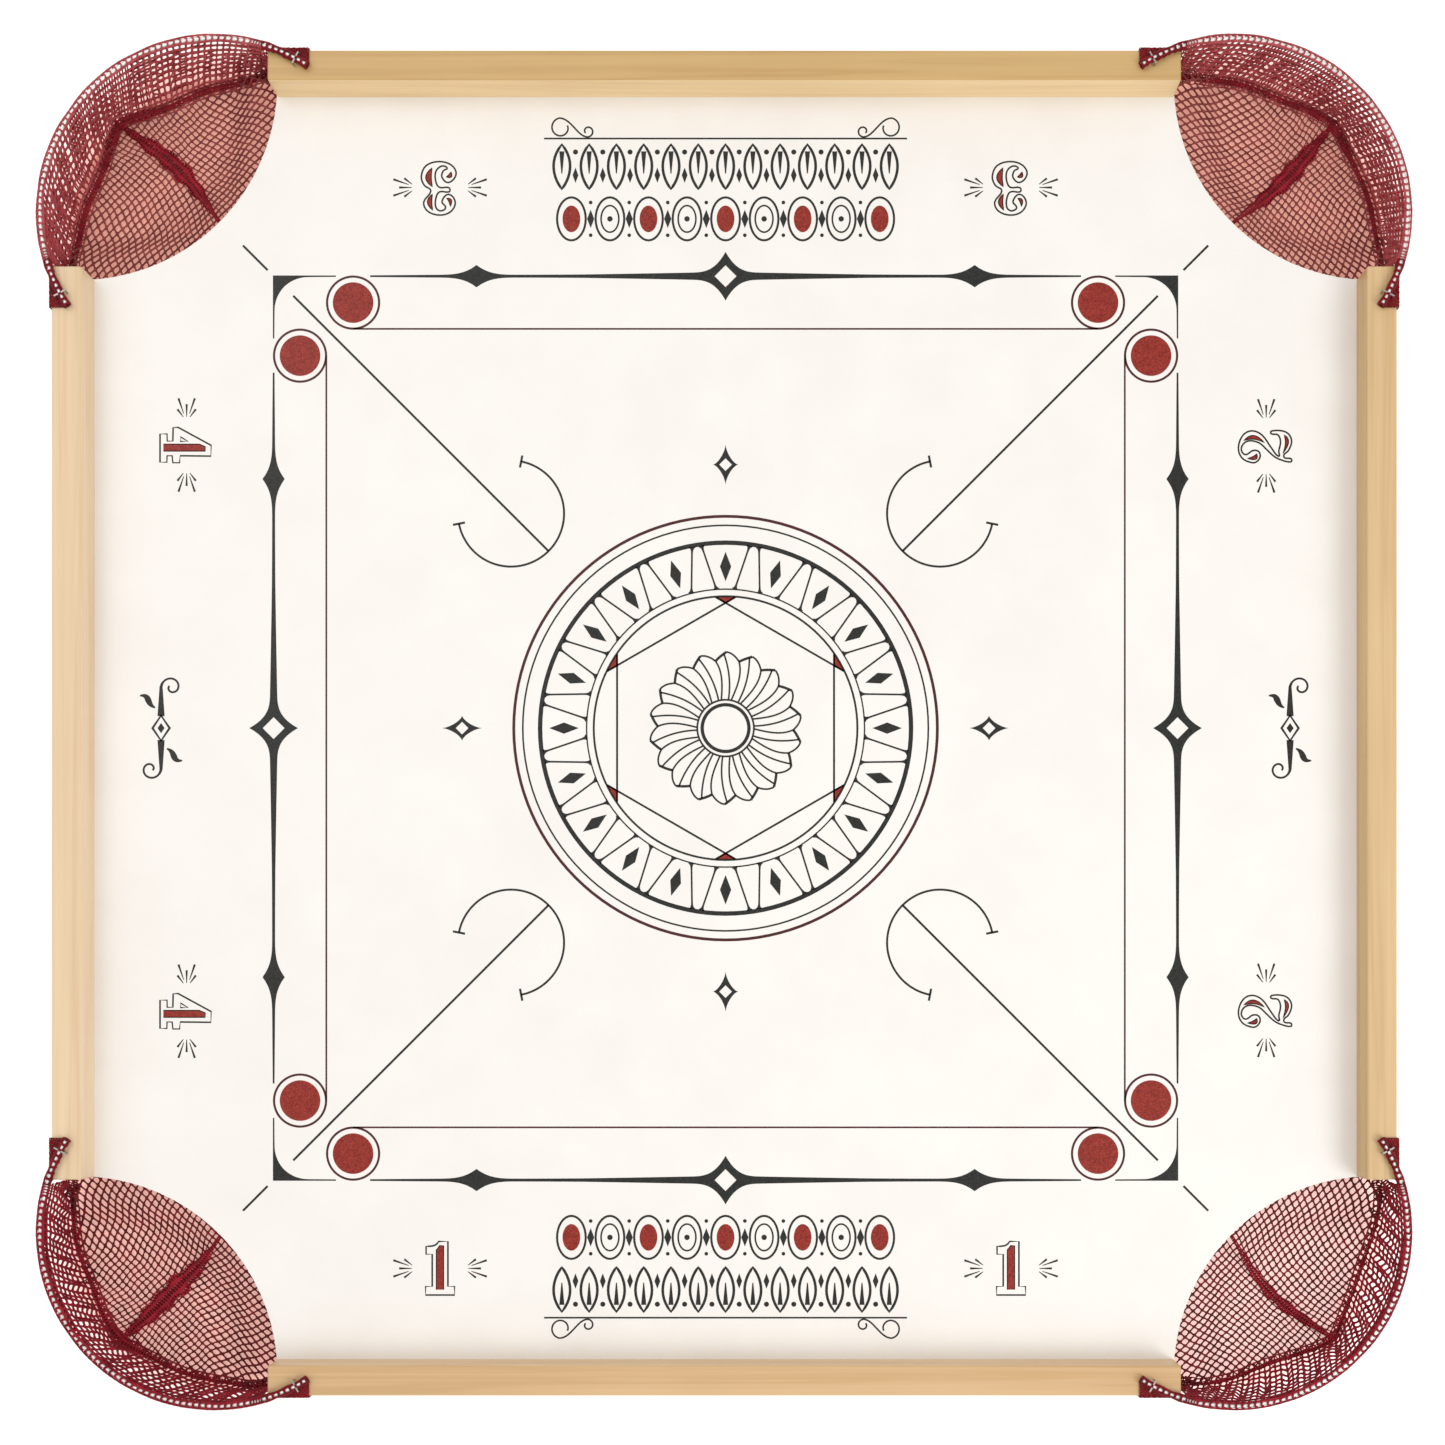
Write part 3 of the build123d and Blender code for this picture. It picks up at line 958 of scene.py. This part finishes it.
def pleat_roll(pocket, material):
    """The pleat from the panel's edge to the bottom fold."""

    def middle(share):
        out, across = pocket.pleat_line(share * 0.99 + 0.016)
        return out, across, pocket.inner_height(out, across) + 1.2

    length = float(pocket.ridge_radius(0.0)) + HOOP_OUT - MOUTH_OUT
    cloth = Netting(FOLD_SCALE, FOLD_OPENNESS, FOLD_AROUND)
    return gathered(pocket.named("pleat"), pocket, cloth, length, middle, pocket.pleat_width, 2.2, material)


def hem_end(pocket, side, material):
    """The netting wound round one end of the hoop where it crosses a rail."""
    start, end = WALL_HALF - 0.6, 45 + HOOP_OVERRUN + 0.8
    thick = 2 * WRAP

    def middle(share):
        out, across = about_hoop(side * (start + (end - start) * share), HOOP_RADIUS)
        return out, across, np.full_like(share, HOOP_Z)

    def width(share):
        return np.full_like(share, thick)

    length = math.radians(end - start) * HOOP_RADIUS
    cloth = Netting(1.0, FOLD_OPENNESS, HEM_AROUND)
    name = pocket.named("hem", side)
    return gathered(name, pocket, cloth, length, middle, width, thick, material, RAIL_TOP + PRESSED)


def tab(pocket, side, material):
    """The netting's end, spread over a rail's top and folded down its outer face."""
    reach, drop, clear, ragged = 24.0, 17.0, 1.8, 0.25
    cloth = Netting(0.42, 0.45)
    lies = RAIL_TOP + TAB_SKIN

    def surface(u, v):
        along = RAIL_END - u
        wire = HOOP_CENTRE + np.sqrt(HOOP_RADIUS**2 - (HOOP_CENTRE - along) ** 2)
        edge = np.maximum(OUTER_HALF + TAB_SKIN, wire + clear)
        down = np.maximum(0, v - (edge - wire))
        height = lies + (HOOP_Z - lies) * (1 - smooth_step(v, 1.6, 3.2)) - down
        place = np.minimum(wire + v, edge) - (edge - OUTER_HALF - TAB_SKIN) * smooth_step(down, 0, 5.0)
        place = place + ragged * np.sin(along / 0.8) * smooth_step(down, 0, 2.0)
        out, across = (place + along) / ROOT_TWO, side * (place - along) / ROOT_TWO
        return to_board(out, across, height, pocket.quarter)

    def inside(u, v):
        return v < drop + 2.0 + 0.35 * u

    cloth.patch((4.0, reach), (clear, drop + 12.0), inside)
    return cloth.make(pocket.named("tab", side), surface, material)


def build_nets(threads, folded, bound):
    """The four pockets, each hung a little differently, with (inner, outer) threads for each."""
    pockets = (
        Pocket(0, pleat=10.5, sway=-2.0, gather=5.0, fold=1.9, doubled=True, openness=1.0, turn=0.4),
        Pocket(1, pleat=10.0, sway=-6.0, gather=8.5, fold=2.3, doubled=True, openness=1.0, turn=1.7),
        Pocket(2, pleat=12.5, sway=2.5, gather=4.0, fold=2.5, doubled=False, openness=0.82, turn=2.9),
        Pocket(3, pleat=6.5, sway=-6.5, gather=8.5, fold=1.4, doubled=False, openness=0.86, turn=4.1),
    )
    for pocket, (inner, outer) in zip(pockets, threads):
        hang_pocket(pocket, inner, outer, folded, bound)


def hang_pocket(pocket, inner_thread, outer_thread, folded, bound):
    """The floor and the wall of one pocket, each with its gathered pieces."""
    floor = Netting()
    deep = HOOP_OUT + HOOP_RADIUS - MOUTH_OUT
    floor_size = floor.patch((-CLOTH_HALF, CLOTH_HALF), (-FLANGE, deep), pocket.inner_kept)
    floor_net = floor.make(pocket.named("floor"), pocket.inner, inner_thread)
    wall = Netting(openness=pocket.openness)
    half_wall = math.radians(WALL_HALF + BUNCH - BUNCH_END) * HOOP_RADIUS
    lean = WALL_LEAN * pocket.length / 2
    wall_size = wall.patch((-half_wall - lean, half_wall), (0, pocket.wall_end()), pocket.wall_kept)
    wall_net = wall.make(pocket.named("wall"), pocket.wall, outer_thread)
    folds = [ridge_roll(pocket, folded), pleat_roll(pocket, folded)]
    ends = [make(pocket, side, bound) for side in (-1, 1) for make in (hem_end, tab)]
    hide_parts(f"pocket_net_{pocket.corner}")
    for net, size, cloth, rest, extras in (
        (floor_net, floor_size, floor, "playing_panel", folds),
        (wall_net, wall_size, wall, f"hoop_wire_{pocket.corner}", ends),
    ):
        cloth.flat_area()
        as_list(extras)


# Materials


def srgb(*channels):
    """A colour given as it looks on screen, 0 to 255, as linear light."""
    return tuple(((c / 255 + 0.055) / 1.055) ** 2.4 if c > 10 else c / 255 / 12.92 for c in channels)


def dimmed(tone, share):
    return tuple(channel * share for channel in tone)


def midway(first, second):
    return tuple((a + b) / 2 for a, b in zip(first, second))


class Surface:
    """A material and short calls that add nodes to it."""

    def __init__(self, name, roughness, **sockets):
        self.material = bpy.data.materials.new(name)
        self.material.use_nodes = True
        self.tree = self.material.node_tree
        self.shader = self.tree.nodes["Principled BSDF"]
        self.shader.inputs["Roughness"].default_value = roughness
        for socket, value in sockets.items():
            self.shader.inputs[socket.replace("_", " ")].default_value = value
        self.place = self.add("ShaderNodeTexCoord").outputs["Object"]

    def add(self, kind, settings=(), **inputs):
        made = self.tree.nodes.new(kind)
        for key, value in dict(settings).items():
            setattr(made, key, value)
        for key, value in inputs.items():
            self.connect(made.inputs[key], value)
        return made

    def connect(self, socket, value):
        if isinstance(value, bpy.types.NodeSocket):
            self.tree.links.new(value, socket)
        else:
            socket.default_value = value

    def faces_up(self):
        """1 on faces that look upward, 0 on the others."""
        normal = self.add("ShaderNodeNewGeometry").outputs["True Normal"]
        upward = self.add("ShaderNodeSeparateXYZ", Vector=normal).outputs["Z"]
        compared = self.add("ShaderNodeMath", {"operation": "GREATER_THAN"})
        self.connect(compared.inputs[0], upward)
        compared.inputs[1].default_value = 0.5
        return compared.outputs[0]

    def stretched(self, scale, shift=(0, 0, 0)):
        """The object's own coordinates at a scale, given once or for each axis."""
        mapping = self.add("ShaderNodeMapping", Vector=self.place)
        mapping.inputs["Scale"].default_value = scale if hasattr(scale, "__len__") else (scale,) * 3
        mapping.inputs["Location"].default_value = shift
        return mapping.outputs["Vector"]

    def noise(self, scale, detail, shift=(0, 0, 0), distortion=0.0):
        """Smooth noise, from 0 to 1."""
        made = self.add("ShaderNodeTexNoise", Vector=self.stretched(scale, shift), Scale=1.0, Detail=detail)
        made.inputs["Distortion"].default_value = distortion
        return made.outputs["Fac"]

    def ramp(self, value, *stops):
        """Colours or greys at places along a value."""
        made = self.add("ShaderNodeValToRGB", Fac=value)
        band = made.color_ramp
        while len(band.elements) < len(stops):
            band.elements.new(0.5)
        for element, (place, tone) in zip(band.elements, stops):
            element.position = place
            element.color = (*tone, 1) if hasattr(tone, "__len__") else (tone, tone, tone, 1)
        return made.outputs["Color"]

    def mix(self, factor, first, second, blend="MIX"):
        made = self.add("ShaderNodeMix", {"data_type": "RGBA", "blend_type": blend})
        for index, value in ((0, factor), (6, first), (7, second)):
            if isinstance(value, tuple):
                value = (*value, 1)
            self.connect(made.inputs[index], value)
        return made.outputs[2]

    def colour(self, value):
        self.connect(self.shader.inputs["Base Color"], value)

    def roughness(self, value):
        self.connect(self.shader.inputs["Roughness"], value)

    def bump(self, height, strength, distance):
        made = self.add("ShaderNodeBump", Height=height, Strength=strength, Distance=distance * MM)
        self.connect(self.shader.inputs["Normal"], made.outputs["Normal"])


RAIL_GRAIN_AND_FACE_LIGHT = {  # the top's light and dark, then those of the sides; the side tones carry painted light, paler than the top on the back, left and front rails, and painted shade, darker on the right rail
    "back": ((216, 184, 126), (188, 150, 90), (246, 222, 176), (220, 190, 138)),
    "left": ((234, 212, 178), (212, 180, 138), (240, 220, 192), (220, 190, 152)),
    "front": ((222, 190, 146), (196, 158, 104), (230, 204, 166), (206, 170, 120)),
    "right": ((224, 196, 152), (200, 164, 110), (214, 185, 134), (190, 152, 96)),
}


def wood(name, along, top, side, shift):
    """Varnished pine, its grain along X (0) or Y (1); top and side are each a light and a dark tone, and
    the side tones hold painted light and shade for how light falls on each rail's faces.
    """
    surface = Surface(name, 0.42, Coat_Weight=0.25, Coat_Roughness=0.3)
    band_scale, fibre_scale = [90.0] * 3, [620.0] * 3
    band_scale[along], fibre_scale[along] = 2.2, 9.0
    bands = surface.noise(band_scale, 3.0, (shift, shift * 0.7, shift * 1.3), 0.6)
    fibres = surface.noise(fibre_scale, 3.0, (shift, 0, shift))
    blotch = surface.noise(7.0, 2.0, (shift, shift, 0))
    tones = []
    for light, dark in (side, top):
        middle = midway(light, dark)
        tone = surface.ramp(bands, (0.30, light), (0.5, middle), (0.56, dark), (0.62, middle), (0.8, light))
        tone = surface.mix(0.5, tone, surface.ramp(blotch, (0.3, light), (0.7, middle)))
        streaks = surface.ramp(fibres, (0.35, dark), (0.62, light))
        tones.append(surface.mix(0.22, tone, streaks, "MULTIPLY"))
    # Upward faces take the top tones and every other face the side tones: painted light and shade by the
    # way a face turns.
    surface.colour(surface.mix(surface.faces_up(), *tones))
    surface.roughness(surface.ramp(fibres, (0.3, 0.5), (0.7, 0.38)))
    surface.bump(fibres, 0.25, 0.25)
    return surface.material


def panel_faces(name):
    """White printed board above, raw brown board on its edges and underneath."""
    surface = Surface(name, 0.38, Specular_IOR_Level=0.35)
    mottle, grain = surface.noise(26.0, 5.0), surface.noise(900.0, 2.0)
    white = surface.ramp(mottle, (0.3, srgb(237, 233, 228)), (0.7, srgb(241, 238, 233)))
    white = surface.mix(0.05, white, surface.ramp(grain, (0.3, 0.75), (0.7, 1.0)), "MULTIPLY")
    fibre, cloud = surface.noise(1400.0, 4.0), surface.noise(40.0, 3.0)
    brown = surface.ramp(fibre, (0.3, srgb(118, 84, 54)), (0.7, srgb(166, 126, 86)))
    patches = surface.ramp(cloud, (0.3, srgb(140, 100, 66)), (0.7, srgb(176, 138, 98)))
    is_top = surface.faces_up()
    surface.colour(surface.mix(is_top, surface.mix(0.3, brown, patches), white))
    polish = surface.ramp(mottle, (0.3, 0.36), (0.7, 0.44))
    surface.roughness(surface.mix(is_top, (0.85, 0.85, 0.85), polish))
    surface.bump(grain, 0.08, 0.1)
    return surface.material


def printed_ink(name, base, speckle):
    """Printed ink with the fine mottle of a screen print."""
    surface = Surface(name, 0.45, Specular_IOR_Level=0.35)
    fine, broad = surface.noise(1500.0, 3.0), surface.noise(220.0, 2.0)
    tone = surface.ramp(fine, (0.42, base), (0.6, speckle))
    surface.colour(surface.mix(0.25, tone, surface.ramp(broad, (0.3, base), (0.75, speckle))))
    return surface.material


def net_thread(name, dark, bright):
    """Dark red knitted nylon: fine twisted strands, with painted shade in the grooves between them, and a
    soft sheen.
    """
    surface = Surface(name, 0.65, Sheen_Weight=0.06, Sheen_Roughness=0.4, Specular_IOR_Level=0.2)
    place = surface.stretched(900.0)
    wave = surface.add("ShaderNodeTexWave", Vector=place, Scale=1.0, Distortion=6.0, Detail=2.0)
    strands = wave.outputs["Fac"]
    tone = surface.ramp(surface.noise(120.0, 3.0), (0.3, dark), (0.7, bright))
    # Painted shade: the colour is darker in the grooves between the strands.
    shade = surface.ramp(strands, (0.2, 0.45), (0.8, 1.0))
    surface.colour(surface.mix(0.35, tone, shade, "MULTIPLY"))
    surface.bump(strands, 0.6, 0.12)
    return surface.material


def bright_steel(name, tone, roughness, metallic):
    """Drawn or plated steel with faint scratches."""
    surface = Surface(name, roughness, Metallic=metallic)
    scratch = surface.noise((1200.0, 1200.0, 260.0), 3.0)
    surface.colour(surface.ramp(scratch, (0.3, dimmed(tone, 0.82)), (0.7, tone)))
    surface.roughness(surface.ramp(scratch, (0.3, roughness + 0.12), (0.7, roughness)))
    surface.bump(scratch, 0.15, 0.05)
    return surface.material


def paper(name, tone, dark, glow):
    """Matt ground with a faint mottle, lit a little from within so that its shadows stay pale."""
    surface = Surface(name, PAPER_ROUGHNESS, Emission_Strength=glow, Emission_Color=(*tone, 1))
    surface.colour(surface.ramp(surface.noise(60.0, 2.0), (0.3, dark), (0.7, tone)))
    return surface.material


def painted_halo_paper(name, tone, white, radius, glow):
    """A round patch of painted red reflection and painted shade on the ground, lit a little from within,
    that fades to white over its outer part.
    """
    surface = Surface(name, PAPER_ROUGHNESS, Emission_Strength=glow)
    distance = surface.add("ShaderNodeVectorMath", {"operation": "LENGTH"})
    surface.connect(distance.inputs[0], surface.place)
    start, end = (radius - FADE) * MM, (radius - 1.0) * MM
    shade = surface.ramp(distance.outputs["Value"], (start, tone), (end, white))
    surface.colour(shade)
    surface.connect(surface.shader.inputs["Emission Color"], shade)
    return surface.material


def set_material(piece, material):
    piece.data.materials.clear()
    piece.data.materials.append(material)


def dress_nodes():
    """Better materials on the CAD pieces that stay as they are."""
    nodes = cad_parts
    set_material(nodes["playing_panel"], panel_faces("panel_faces"))
    for index, side in enumerate(SIDES):
        tones = [srgb(*tone) for tone in RAIL_GRAIN_AND_FACE_LIGHT[side]]
        rail_wood = wood(f"rail_pine_{side}", index % 2, tones[:2], tones[2:], 3.7 * index + 1.3)
        set_material(nodes[f"rail_{side}"], rail_wood)
    plated = bright_steel("plated_steel", (0.46, 0.44, 0.41), 0.4, 1.0)
    wire = bright_steel("bright_wire", (0.97, 0.94, 0.91), 0.3, 0.35)
    for name, node in nodes.items():
        if "staples" in name or "brads" in name:
            set_material(node, plated)
        if name.startswith("hoop_wire"):
            set_material(node, wire)


# Stage


PAPER_ROUGHNESS = 0.9
FLOOR_HALF = 30000.0
FLOOR_HEIGHT = -0.15  # just under the patches that lie on it
RIM_HEIGHT = -0.08
FADE = 18.0  # width of a patch's fading rim
POCKET_GROUND_LIGHT = (  # each corner's ground inside the hoop, the same round it, and its glow: painted red reflection of the netting and painted shade, deepest at the back and palest at the front right, with a glow of painted light
    (srgb(246, 182, 164), srgb(252, 210, 200), 0.32),
    (srgb(246, 182, 164), srgb(252, 210, 200), 0.32),
    (srgb(250, 198, 186), srgb(252, 218, 210), 0.42),
    (srgb(254, 220, 213), srgb(254, 232, 228), 0.55),
)


def lay_flat(name, outline, middle, height, material):
    """A flat piece of the stage, its outline given from its own middle."""
    mesh = bpy.data.meshes.new(name)
    points = [(point.real * MM, point.imag * MM, 0) for point in outline]
    mesh.from_pydata(points, [], [range(len(points))])
    mesh.materials.append(material)
    ground = bpy.data.objects.new(name, mesh)
    ground.location = (middle.real * MM, middle.imag * MM, height * MM)
    bpy.context.scene.collection.objects.link(ground)


def build_floor():
    """A white ground with painted red reflection and painted shade under each pocket and a little beyond
    it, as seen from the camera.
    """
    white = srgb(252, 251, 250)
    corners = [FLOOR_HALF * (1 + 1j) * 1j**quarter for quarter in range(4)]
    lay_flat("floor", corners, 0j, FLOOR_HEIGHT, paper("white_backdrop", white, srgb(250, 249, 248), 0.3))
    eye = PANEL_TOP + CAMERA_RISE
    spread = eye / (eye - HOOP_Z)
    for corner, degrees, (tone, halo_light, glow) in zip(CORNERS, QUARTERS, POCKET_GROUND_LIGHT):
        hoop = cmath.rect(HOOP_OUT, math.radians(45 + degrees))
        # Inside each hoop the table carries painted red reflection of the netting and painted shade, and
        # glows a little as painted light.
        ground = paper(f"table_{corner}", tone, dimmed(tone, 0.94), glow)
        lay_flat(f"painted_light_patch_{corner}", circle(0, HOOP_RADIUS - 1.0), hoop, 0.0, ground)
        # Round each hoop, where the netting is seen against the ground from the camera, a halo of the same
        # painted light fades to white.
        middle, radius = CAMERA_AT + (hoop - CAMERA_AT) * spread, HOOP_RADIUS * spread
        rim = painted_halo_paper(f"painted_light_halo_{corner}", halo_light, white, radius, glow)
        lay_flat(f"painted_light_halo_{corner}", circle(0, radius), middle, RIM_HEIGHT, rim)


def area_light(name, place, aim, size, power):
    data = bpy.data.lights.new(name, "AREA")
    data.shape = "DISK"
    data.size = size
    data.energy = power
    lamp = bpy.data.objects.new(name, data)
    lamp.location = place
    lamp.rotation_mode = "QUATERNION"
    lamp.rotation_quaternion = (Vector(aim) - Vector(place)).to_track_quat("-Z", "Y")
    bpy.context.scene.collection.objects.link(lamp)


def light_scene():
    world = bpy.data.worlds.new("soft_studio")
    world.use_nodes = True
    background = world.node_tree.nodes["Background"]
    background.inputs["Color"].default_value = (1.0, 0.988, 0.974, 1)
    background.inputs["Strength"].default_value = 0.83
    bpy.context.scene.world = world
    area_light("key", (1.5, -1.0, 1.5), (0.1, 0, 0), 1.2, 17)
    area_light("fill", (-1.2, 0.8, 2.2), (0, 0, 0), 1.8, 12)


def place_camera():
    """Looks straight down, with the view shifted so that the board fills it."""
    data = bpy.data.cameras.new("camera")
    data.sensor_width = 36.0
    data.lens = data.sensor_width * CAMERA_RISE / VIEW_WIDTH
    shift = (VIEW_MIDDLE - CAMERA_AT) / VIEW_WIDTH
    data.shift_x, data.shift_y = shift.real, shift.imag
    camera = bpy.data.objects.new("camera", data)
    camera.location = (CAMERA_AT.real * MM, CAMERA_AT.imag * MM, (PANEL_TOP + CAMERA_RISE) * MM)
    bpy.context.scene.collection.objects.link(camera)
    bpy.context.scene.camera = camera


def main():
    bpy.context.scene.view_settings.view_transform = "Standard"
    place_camera()
    light_scene()
    build_floor()
    dress_nodes()
    print_field(
        printed_ink("black_ink", srgb(10, 10, 9), srgb(44, 46, 42)),
        printed_ink("red_ink", srgb(114, 10, 4), srgb(162, 52, 36)),
        printed_ink("maroon_ink", srgb(52, 12, 10), srgb(84, 24, 20)),
    )
    # The back pockets' netting is given paler tones than the front pockets', and the floor netting darker
    # tones than the wall netting.
    pale_nets = (
        net_thread("net_inner_pale", srgb(120, 52, 52), srgb(160, 80, 76)),
        net_thread("net_outer_pale", srgb(160, 52, 58), srgb(200, 92, 96)),
    )
    deep = (
        net_thread("net_inner_deep", srgb(84, 16, 20), srgb(132, 36, 40)),
        net_thread("net_outer_deep", srgb(122, 6, 26), srgb(168, 34, 50)),
    )
    folded = net_thread("net_gathered", srgb(122, 6, 26), srgb(170, 28, 46))
    bound = net_thread("net_bound", srgb(96, 0, 10), srgb(142, 8, 26))
    build_nets((pale_nets, pale_nets, deep, deep), folded, bound)


main()
